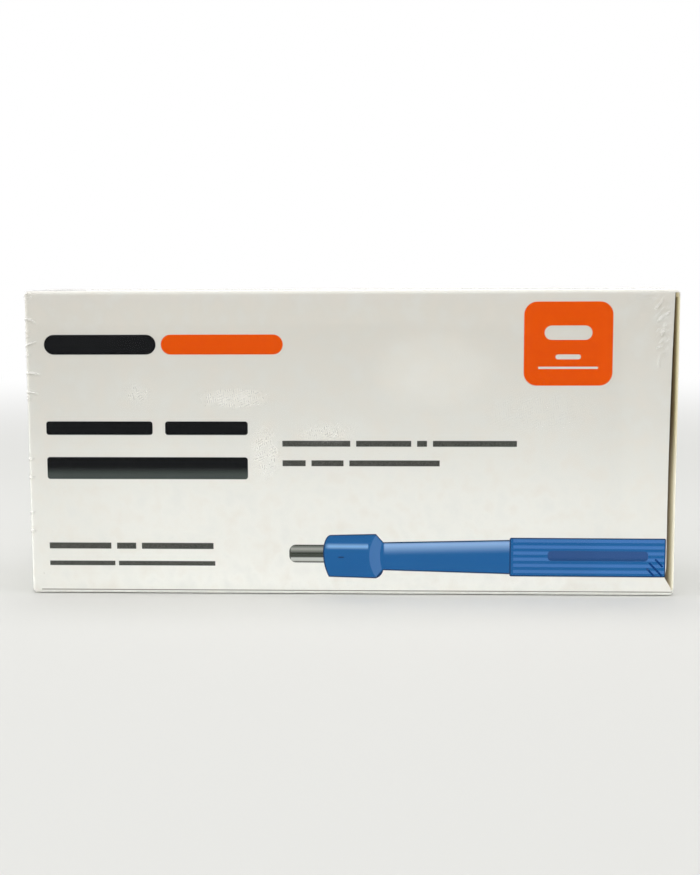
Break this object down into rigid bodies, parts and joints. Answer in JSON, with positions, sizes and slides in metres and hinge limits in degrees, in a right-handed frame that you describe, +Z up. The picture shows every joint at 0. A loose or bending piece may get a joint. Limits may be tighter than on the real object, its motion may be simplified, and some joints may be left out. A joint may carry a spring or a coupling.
{
  "type": "shrink-wrapped folding carton",
  "caption": "Sealed white folding carton with tucked end closures, a printed front panel and a welded skin of clear shrink film.",
  "frame": {"origin": "middle of the underside, where the carton stands on its long narrow side", "axes": "+X along the length to the right-hand closure, -Y out of the printed front panel, +Z up"},
  "size_m": [0.2116, 0.0506, 0.0998],
  "materials": {
    "coated_board": "coated white carton board, satin",
    "clear_film": "clear glossy shrink film",
    "black_ink": "printed, satin",
    "orange_ink": "printed, satin",
    "grey_ink": "printed, satin",
    "blue_ink": "printed, satin",
    "light_blue_ink": "printed, satin",
    "deep_blue_ink": "printed, satin",
    "steel_grey_ink": "printed, satin"
  },
  "bodies": {
    "root": {"carton": "coated_board", "shrink_film": "clear_film", "dark_name_field": "black_ink", "orange_name_field": "orange_ink", "title_print": "black_ink", "note_print": "grey_ink", "size_badge": "orange_ink", "picture_handle": "blue_ink", "picture_ribs": "light_blue_ink", "picture_label": "deep_blue_ink", "picture_blade": "steel_grey_ink"}
  },
  "joints": []
}
